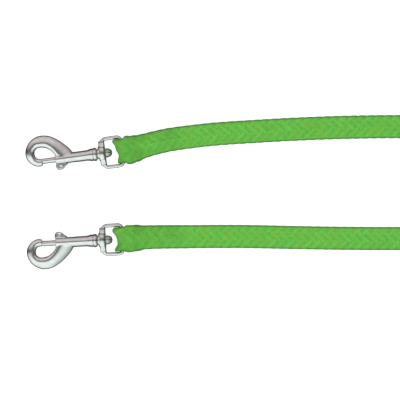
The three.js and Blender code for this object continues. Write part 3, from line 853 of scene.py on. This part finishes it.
METAL = {
    "snap_casting": (snap_casting(), "snap", "snap_body", "snap_nickel"),
    "sliding_bolt": (gate_bolt(), "gate", "gate_bolt", "bolt_nickel"),
    "thumb_piece": (thumb_knob(), "gate", "thumb_knob", "knob_nickel"),
    "return_spring": (gate_spring(), "snap", "gate_spring", "spring_steel"),
    "swivel_rivet": (swivel_pin(), "snap", "swivel_pin", "pin_nickel"),
    "eye_casting": (swivel_eye(), "eye", "swivel_eye", "eye_nickel"),
}

metal_pieces = {}
for end in ENDS:
    place = snap_matrix(end)
    for label, (mesh, body, node, slot) in METAL.items():
        piece = new_object(f"{label}_{end}", mesh)
        piece.matrix_world = place
        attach(piece, f"{body}_{end}")
        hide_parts(f"{node}_{end}")
        metal_pieces[label, end] = piece
        if label == "return_spring":
            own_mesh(piece)


# ---- Materials -----------------------------------------------------------------------------
class Nodes:
    """Short names for building a material's node tree."""

    def __init__(self, name):
        self.material = bpy.data.materials.new(name)
        self.material.use_nodes = True
        self.tree = self.material.node_tree
        self.shader = self.tree.nodes["Principled BSDF"]

    def add(self, kind, inputs=(), **settings):
        node = self.tree.nodes.new(kind)
        for key, value in settings.items():
            setattr(node, key, value)
        for key, value in dict(inputs).items():
            self.feed(node.inputs[key], value)
        return node

    def feed(self, socket, value):
        if isinstance(value, bpy.types.NodeSocket):
            self.tree.links.new(value, socket)
        elif isinstance(value, bpy.types.Node):
            self.tree.links.new(value.outputs[0], socket)
        else:
            socket.default_value = value

    def math(self, operation, *values):
        return self.add("ShaderNodeMath", dict(enumerate(values)), operation=operation).outputs[0]

    def times(self, first, second):
        return self.math("MULTIPLY", first, second)

    def place(self, x, y, z=0.0):
        return self.add("ShaderNodeCombineXYZ", {"X": x, "Y": y, "Z": z})

    def mix(self, share, first, second):
        node = self.add("ShaderNodeMix", data_type="RGBA")
        self.feed(node.inputs["Factor"], share)
        self.feed(node.inputs["A"], first)
        self.feed(node.inputs["B"], second)
        return node.outputs["Result"]

    def noise(self, vector, scale, detail=2.0):
        inputs = {"Vector": vector, "Scale": scale, "Detail": detail}
        return self.add("ShaderNodeTexNoise", inputs).outputs["Fac"]

    def ramp(self, value, low, high, first=0.0, second=1.0):
        inputs = {"Value": value, "From Min": low, "From Max": high, "To Min": first, "To Max": second}
        return self.add("ShaderNodeMapRange", inputs).outputs["Result"]

    def set(self, **values):
        for key, value in values.items():
            self.feed(self.shader.inputs[key.replace("_", " ")], value)


def rgb(red, green, blue):
    """A display colour, 0 to 255, as a linear one."""
    return (*[((c / 255 + 0.055) / 1.055) ** 2.4 if c > 10 else c / 3294.6 for c in (red, green, blue)], 1.0)


def braid_material():
    """Twisted yarn, with a painted highlight along each strand's crown, painted shade between the strands and
    in the yarn grooves, and painted shade along the strap's edges.
    """
    n = Nodes("green_braid")
    uv = n.add("ShaderNodeUVMap", uv_map="braid")
    split = n.add("ShaderNodeSeparateXYZ", {"Vector": uv})
    p, q = split.outputs["X"], split.outputs["Y"]
    left, right = n.math("SUBTRACT", p, q), n.math("ADD", p, q)
    i, j = n.math("FLOOR", left), n.math("FLOOR", right)

    # The same height as braid_height gives
    def strand_height(value, whole, travel, start):
        cross = n.math("SUBTRACT", n.times(n.math("SUBTRACT", value, whole), 2.0), 1.0)
        crown = n.math("SUBTRACT", 1.0, n.math("POWER", n.math("ABSOLUTE", cross), 2.4))
        phase = n.times(n.math("SUBTRACT", travel, start), math.pi / 2)
        wave = n.times(n.math("COSINE", phase), STRAND_WAVE)
        return n.math("MULTIPLY_ADD", crown, STRAND_CROWN, wave), cross

    height_left, cross_left = strand_height(left, i, n.math("SUBTRACT", right, i), 1.0)
    height_right, cross_right = strand_height(right, j, n.math("SUBTRACT", j, left), 2.0)
    height = n.math("MAXIMUM", height_left, height_right)
    on_left = n.math("GREATER_THAN", height_left, height_right)

    def pick(first, second):
        inputs = {"Factor": on_left, "A": second, "B": first}
        return n.add("ShaderNodeMix", inputs, data_type="FLOAT").outputs["Result"]

    cross = pick(cross_left, cross_right)
    strand = pick(i, n.math("ADD", j, 517.0))
    ahead = pick(right, left)
    fibre = n.noise(n.place(cross, n.times(ahead, 0.22), strand), 7.0, 3.0)
    yarns = n.math("SINE", n.math("ADD", n.times(cross, 15.0), n.times(fibre, 5.0)))
    fleck = n.noise(n.place(cross, n.times(ahead, 0.8), strand), 3.2)
    strand_tone = n.add("ShaderNodeTexWhiteNoise", {"W": strand}, noise_dimensions="1D").outputs["Value"]
    cell = n.add("ShaderNodeTexWhiteNoise", {"Vector": n.place(i, j)}).outputs["Value"]
    # Painted highlight: a pale line along the crown of each strand.
    crown_highlight = n.math("POWER", n.math("SUBTRACT", 1.0, n.math("ABSOLUTE", cross)), 3.0)
    position = n.add("ShaderNodeTexCoord").outputs["Object"]
    broad = n.noise(position, 150.0)
    splice = n.add("ShaderNodeAttribute", attribute_name="doubled").outputs["Fac"]
    strained = n.times(splice, n.ramp(n.noise(position, 110.0, 3.0), 0.3, 0.62))
    # Mask for painted shade along the strap's edges.
    edge_shade = n.add("ShaderNodeAttribute", attribute_name="edge").outputs["Fac"]

    # The pale tone serves both the random pale flecks and the painted highlight along the strand crowns; the
    # darker tone is painted shade for the low places of the braid.
    groove_shade, light = rgb(70, 146, 42), rgb(112, 196, 84)
    # Painted shade: the colour darkens where the braid's surface is low, between the strands.
    colour = n.mix(n.ramp(height, 0.0, 0.3), groove_shade, rgb(80, 164, 48))
    for share, strength, tone in (
        (n.ramp(fleck, 0.45, 0.75), 0.55, light),
        # Painted highlight along the strand crowns.
        (crown_highlight, 0.6, light),
        (strand_tone, 0.3, rgb(72, 154, 62)),
        (cell, 0.25, rgb(66, 146, 34)),
        (n.ramp(broad, 0.42, 0.66), 0.5, rgb(104, 160, 44)),
        (strained, 0.42, rgb(66, 130, 40)),
        # Painted shade along both edges of the strap.
        (edge_shade, 0.75, rgb(50, 86, 34)),
        # Painted shade in the grooves between the yarns.
        (n.ramp(yarns, -1.0, -0.1, 1.0, 0.0), 0.2, groove_shade),
    ):
        colour = n.mix(n.times(share, strength), colour, tone)

    relief = n.math("MULTIPLY_ADD", yarns, 0.035, n.math("MULTIPLY_ADD", fibre, 0.08, height))
    bump = n.add("ShaderNodeBump", {"Height": relief, "Strength": 0.45, "Distance": 0.001})
    n.set(Base_Color=colour, Roughness=n.ramp(fibre, 0.3, 0.7, 0.62, 0.82), Normal=bump)
    n.shader.inputs["Sheen Weight"].default_value = 0.12
    n.shader.inputs["Sheen Roughness"].default_value = 0.5
    n.shader.inputs["Specular IOR Level"].default_value = 0.35
    return n.material


def nickel_material(name, tint, rough, marks=None):
    """Bright nickel plate: faint ripple of the casting below it, smudges and fine scuffs."""
    n = Nodes(name)
    position = n.add("ShaderNodeTexCoord").outputs["Object"]
    smudge = n.noise(position, 260.0, 3.0)
    ripple = n.noise(position, 420.0, 1.0)
    stretched = n.add("ShaderNodeMapping", {"Vector": position, "Scale": (300.0, 2600.0, 2600.0)})
    scuffs = n.noise(stretched, 1.0, 2.0)
    worn = n.ramp(scuffs, 0.62, 0.72)
    colour = n.mix(n.ramp(smudge, 0.35, 0.75), tint, (tint[0] * 0.9, tint[1] * 0.89, tint[2] * 0.87, 1.0))
    relief = n.math("MULTIPLY_ADD", worn, -0.1, ripple)
    if marks:
        x = n.add("ShaderNodeSeparateXYZ", {"Vector": position}).outputs["X"]
        relief = n.math("MULTIPLY_ADD", n.math("SINE", n.math("MULTIPLY", x, marks)), 0.12, relief)
    bump = n.add("ShaderNodeBump", {"Height": relief, "Strength": 0.35, "Distance": 0.00006})
    roughness = n.math("MULTIPLY_ADD", worn, 0.1, n.ramp(smudge, 0.3, 0.8, rough, rough + 0.07))
    n.set(Base_Color=colour, Roughness=roughness, Normal=bump)
    n.shader.inputs["Metallic"].default_value = 1.0
    return n.material


def thread_material():
    n = Nodes("stitch_thread")
    position = n.add("ShaderNodeTexCoord").outputs["Object"]
    inputs = {"Vector": position, "Scale": 420.0, "Distortion": 1.5}
    wave = n.add("ShaderNodeTexWave", inputs, wave_type="BANDS", bands_direction="DIAGONAL")
    twist = wave.outputs["Fac"]
    colour = n.mix(twist, rgb(82, 160, 54), rgb(106, 188, 74))
    bump = n.add("ShaderNodeBump", {"Height": twist, "Strength": 0.5, "Distance": 0.0002})
    n.set(Base_Color=colour, Roughness=0.6, Normal=bump)
    return n.material


def tie_material():
    n = Nodes("hook_and_loop")
    position = n.add("ShaderNodeTexCoord").outputs["Object"]
    pile = n.add("ShaderNodeTexVoronoi", {"Vector": position, "Scale": 1300.0}).outputs["Distance"]
    lint = n.noise(position, 900.0, 4.0)
    colour = n.mix(n.ramp(lint, 0.4, 0.8), rgb(22, 22, 24), rgb(58, 58, 62))
    bump = n.add("ShaderNodeBump", {"Height": n.math("ADD", pile, lint), "Strength": 0.8, "Distance": 0.0004})
    n.set(Base_Color=colour, Roughness=n.ramp(lint, 0.3, 0.7, 0.8, 0.95), Normal=bump)
    n.shader.inputs["Sheen Weight"].default_value = 0.3
    return n.material


NICKEL = (0.84, 0.83, 0.81, 1.0)
# The rivet's nickel is much darker than the rest: painted shade standing in for the shadow round the rivet head
# beside the hub.
SHADE_DARKENED_RIVET_NICKEL = (0.56, 0.55, 0.54, 1.0)
FINISHES = {
    "snap_casting": nickel_material("cast_nickel", NICKEL, 0.15),
    "eye_casting": nickel_material("eye_nickel", NICKEL, 0.17),
    "sliding_bolt": nickel_material("bolt_nickel", NICKEL, 0.13, marks=26000.0),
    "thumb_piece": nickel_material("thumb_nickel", NICKEL, 0.2),
    # Painted shade: the rivet gets the darker nickel.
    "swivel_rivet": nickel_material("rivet_nickel_painted_shade", SHADE_DARKENED_RIVET_NICKEL, 0.24),
    "return_spring": nickel_material("spring_wire", (0.5, 0.49, 0.47, 1.0), 0.28),
}
for (label, _), piece in metal_pieces.items():
    if not piece.data.materials:
        piece.data.materials.append(FINISHES[label])
strap.data.materials.append(braid_material())
thread = thread_material()
for row in stitch_rows:
    row.data.materials.append(thread)
tie.data.materials.append(tie_material())


# ---- Floor, lights and surroundings --------------------------------------------------------
floor = new_object("floor", make_mesh("floor", *[
    np.array([(-2, -2, 0), (3, -2, 0), (3, 2, 0), (-2, 2, 0)]) - [0, 0, 0.0002], [(0, 1, 2, 3)],
]))
floor_nodes = Nodes("floor_paper")
floor_nodes.set(Base_Color=(0.55, 0.55, 0.55, 1.0), Roughness=0.9)
floor_nodes.set(Emission_Color=(1.0, 1.0, 1.0, 1.0), Emission_Strength=0.7)
floor.data.materials.append(floor_nodes.material)
floor.visible_glossy = False
floor.visible_diffuse = False


def area_light(name, place, aim, size, power):
    data = bpy.data.lights.new(name, "AREA")
    data.shape = "RECTANGLE"
    data.size, data.size_y = size
    data.energy = power
    light = new_object(name, data)
    light.location = place
    light.rotation_euler = (Vector(aim) - Vector(place)).to_track_quat("-Z", "Y").to_euler()
    light.visible_glossy = False


area_light("top_fill", (0.2, 0.0, 1.5), (0.2, 0.0, 0), (1.6, 1.6), 16)
area_light("key", (-0.2, -1.1, 1.2), (0.1, 0.0, 0), (1.4, 0.8), 8)

SOFT_LIGHT = 0.56
world = bpy.data.worlds.new("studio")
bpy.context.scene.world = world
world.use_nodes = True
tree = world.node_tree
direction = tree.nodes.new("ShaderNodeTexCoord")
split = tree.nodes.new("ShaderNodeSeparateXYZ")
tree.links.new(direction.outputs["Generated"], split.inputs[0])


def sky_ramp(socket, stops):
    spread = tree.nodes.new("ShaderNodeMapRange")
    spread.inputs["From Min"].default_value = -1
    tree.links.new(socket, spread.inputs["Value"])
    ramp = tree.nodes.new("ShaderNodeValToRGB")
    while len(ramp.color_ramp.elements) < len(stops):
        ramp.color_ramp.elements.new(0.5)
    for element, (place, value) in zip(ramp.color_ramp.elements, stops):
        element.position = place
        element.color = (*value, 1) if isinstance(value, tuple) else (value, value, value, 1)
    tree.links.new(spread.outputs["Result"], ramp.inputs["Fac"])
    return ramp.outputs["Color"]


sideways = sky_ramp(split.outputs["Y"], [
    (0.0, (0.88, 0.99, 0.98)), (0.3, (1.04, 1.17, 1.15)), (0.41, (0.9, 1.0, 0.98)), (0.465, (0.38, 0.41, 0.41)),
    (0.5, (0.1, 0.1, 0.1)), (0.58, (0.15, 0.15, 0.15)), (0.66, (0.54, 0.5, 0.52)),
    (0.8, (0.78, 0.71, 0.74)), (1.0, (0.6, 0.55, 0.57)),
])
upward = sky_ramp(split.outputs["Z"], [
    (0.0, 0.26), (0.12, 0.2), (0.26, 0.08), (0.38, 0.1), (0.44, 0.22), (0.5, 0.7), (0.57, 1.0),
])
lengthways = sky_ramp(split.outputs["X"], [(0.0, 0.72), (0.16, 1.0), (0.62, 1.0), (0.8, 0.45), (1.0, 0.12)])


def multiplied(first, second):
    product = tree.nodes.new("ShaderNodeMix")
    product.data_type = "RGBA"
    product.blend_type = "MULTIPLY"
    product.inputs["Factor"].default_value = 1
    tree.links.new(first, product.inputs["A"])
    tree.links.new(second, product.inputs["B"])
    return product.outputs["Result"]


sky = multiplied(multiplied(sideways, upward), lengthways)
rays = tree.nodes.new("ShaderNodeLightPath")


def plain_for(ray, tone, otherwise):
    """One even tone for one kind of ray: soft light for cloth, and a pale backdrop to look at."""
    choice = tree.nodes.new("ShaderNodeMix")
    choice.data_type = "RGBA"
    choice.inputs["B"].default_value = (tone, tone, tone, 1.0)
    tree.links.new(rays.outputs[ray], choice.inputs["Factor"])
    tree.links.new(otherwise, choice.inputs["A"])
    return choice.outputs["Result"]


seen = plain_for("Is Camera Ray", 0.93, plain_for("Is Diffuse Ray", SOFT_LIGHT, sky))
tree.links.new(seen, tree.nodes["Background"].inputs["Color"])
tree.nodes["Background"].inputs["Strength"].default_value = 1.0
